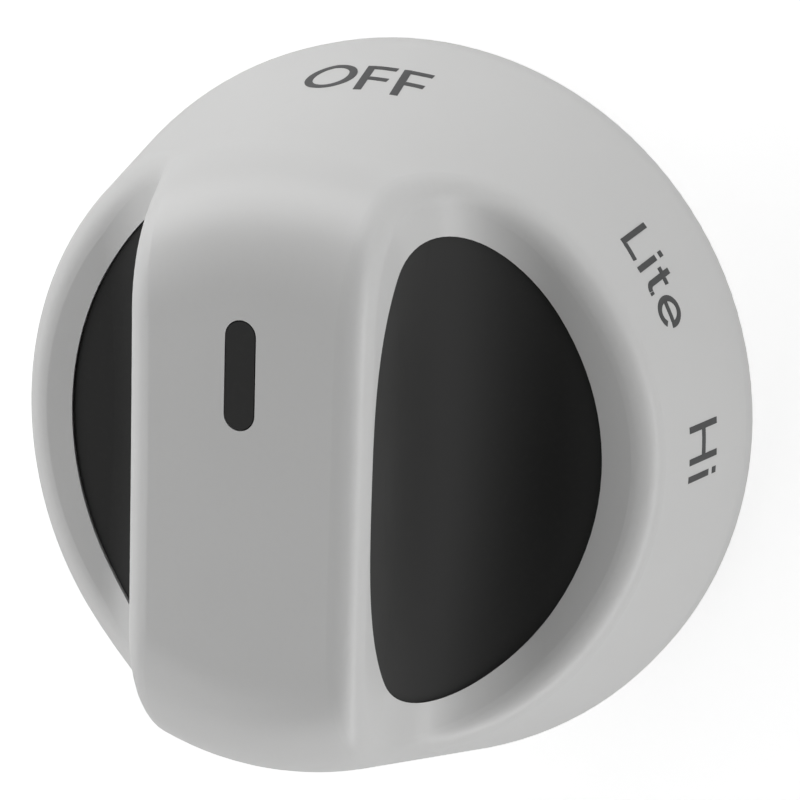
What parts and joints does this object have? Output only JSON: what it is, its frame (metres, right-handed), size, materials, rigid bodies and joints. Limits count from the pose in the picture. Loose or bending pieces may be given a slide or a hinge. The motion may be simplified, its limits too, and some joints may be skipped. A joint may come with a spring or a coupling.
{
  "type": "stove knob",
  "caption": "Round two-tone burner knob with a wide grip bar between dark finger wells, an index mark and a D-shaped stem socket behind, to turn a gas valve.",
  "frame": {"origin": "centre of the rim's back plane, on the axis of the valve stem", "axes": "+Z along the stem axis, out of the knob's face; +Y from the middle of the face towards the OFF mark, along the grip bar; +X completes a right-handed frame"},
  "size_m": [0.0508, 0.0508, 0.0279],
  "materials": {
    "shell_plastic": "satin gloss moulded plastic, pale grey white",
    "core_plastic": "fine matt moulded plastic, charcoal",
    "spring_steel": "rolled spring steel strip",
    "print_ink": "thin printed ink film, dark grey"
  },
  "bodies": {
    "root": {"outer_shell": "shell_plastic", "finger_well_core": "core_plastic", "stem_clip": "spring_steel"}
  },
  "joints": []
}
